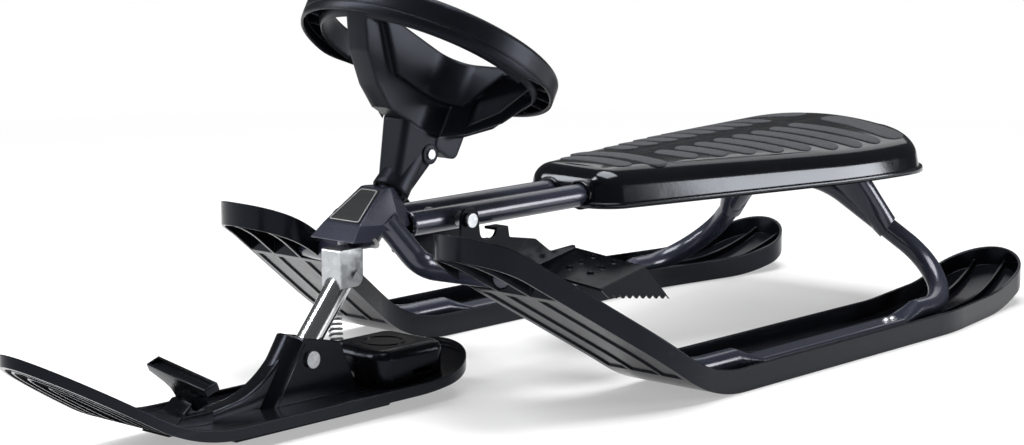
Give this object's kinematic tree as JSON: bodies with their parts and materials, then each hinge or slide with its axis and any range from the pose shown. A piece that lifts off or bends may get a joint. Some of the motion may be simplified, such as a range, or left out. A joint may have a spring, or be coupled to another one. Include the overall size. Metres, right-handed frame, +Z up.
{
  "type": "steering sled",
  "caption": "Snow sled steered by a wheel over a sprung front ski, with runner skis under a bent tube frame, a grip-topped seat, toothed foot brakes and a tow line winder.",
  "frame": {"origin": "on the ground under the middle of the overall length and width", "axes": "+X to the rider's left, -Y to the front, +Z up"},
  "size_m": [0.468, 1.202, 0.3723],
  "materials": {
    "ski_black": "satin moulded black",
    "wheel_black": "fine-grained moulded black",
    "seat_gloss": "glossy moulded black",
    "grip_pad": "coarse anti-slip grain",
    "navy_steel": "dark blue-grey powder coat",
    "black_steel": "black powder coat",
    "zinc_steel": "bright zinc",
    "leg_chrome": "polished",
    "spring_steel": "drawn wire",
    "plain_plastic": "plain moulded",
    "plate_grey": "plain dark grey plate",
    "lid_black": "moulded black"
  },
  "bodies": {
    "frame": {"left_runner_ski": "ski_black", "right_runner_ski": "ski_black", "left_frame_tube": "navy_steel", "right_frame_tube": "navy_steel", "left_seat_rail": "navy_steel", "right_seat_rail": "navy_steel", "left_seat_bracket": "navy_steel", "right_seat_bracket": "navy_steel", "runner_screws": "zinc_steel", "brake_bolts": "zinc_steel", "head_bracket": "navy_steel", "head_tube": "navy_steel", "lower_bush": "plain_plastic", "upper_bush": "plain_plastic", "front_plate": "plate_grey", "seat_shell": "seat_gloss", "seat_grip_pads": "grip_pad", "seat_screws": "zinc_steel"},
    "steering": {"steering_column": "navy_steel", "clevis": "zinc_steel", "clevis_bolt": "zinc_steel", "steering_leg": "leg_chrome", "ski_spring": "spring_steel", "steering_wheel": "wheel_black", "wheel_stem": "wheel_black", "wheel_bolt": "zinc_steel"},
    "front_ski": {"front_ski": "ski_black", "ski_pin": "zinc_steel", "winder_housing": "ski_black", "winder_lid": "lid_black", "winder_axle": "zinc_steel", "cord_gland": "plain_plastic"},
    "cord_reel": {"cord_reel": "plain_plastic"},
    "tow_handle": {"tow_handle": "ski_black"},
    "left_brake": {"left_brake_pedal": "black_steel"},
    "right_brake": {"right_brake_pedal": "black_steel"}
  },
  "joints": [
    {"name": "steering_turn", "type": "hinge", "parent": "frame", "child": "steering", "pos_m": [0, -0.2945, 0.052], "axis": [0, 0.6494, 0.7604], "range_deg": [-35, 35]},
    {"name": "ski_pitch", "type": "hinge", "parent": "steering", "child": "front_ski", "pos_m": [0, -0.2945, 0.052], "axis": [1, 0, 0], "range_deg": [-8, 8], "stiffness_Nm_per_rad": 20, "deforming": ["ski_spring"]},
    {"name": "tow_handle_pull", "type": "slide", "parent": "front_ski", "child": "tow_handle", "axis": [0, -0.6018, 0.7986], "range_m": [0, 0.08], "stiffness_N_per_m": 60, "springref_m": -0.05},
    {"name": "reel_spin", "type": "hinge", "parent": "front_ski", "child": "cord_reel", "pos_m": [0, -0.192, 0.03], "axis": [0, 0, 1], "range_deg": [0, 306]},
    {"name": "left_brake_press", "type": "hinge", "parent": "frame", "child": "left_brake", "pos_m": [0, -0.125, 0.156], "axis": [-1, 0, 0], "range_deg": [0, 18], "stiffness_Nm_per_rad": 3, "springref_deg": -11.46},
    {"name": "right_brake_press", "type": "hinge", "parent": "frame", "child": "right_brake", "pos_m": [0, -0.125, 0.156], "axis": [-1, 0, 0], "range_deg": [0, 18], "stiffness_Nm_per_rad": 3, "springref_deg": -11.46}
  ],
  "couplings": [
    {"joint": "reel_spin", "follows": "tow_handle_pull", "rad_per_m": 66.667}
  ]
}
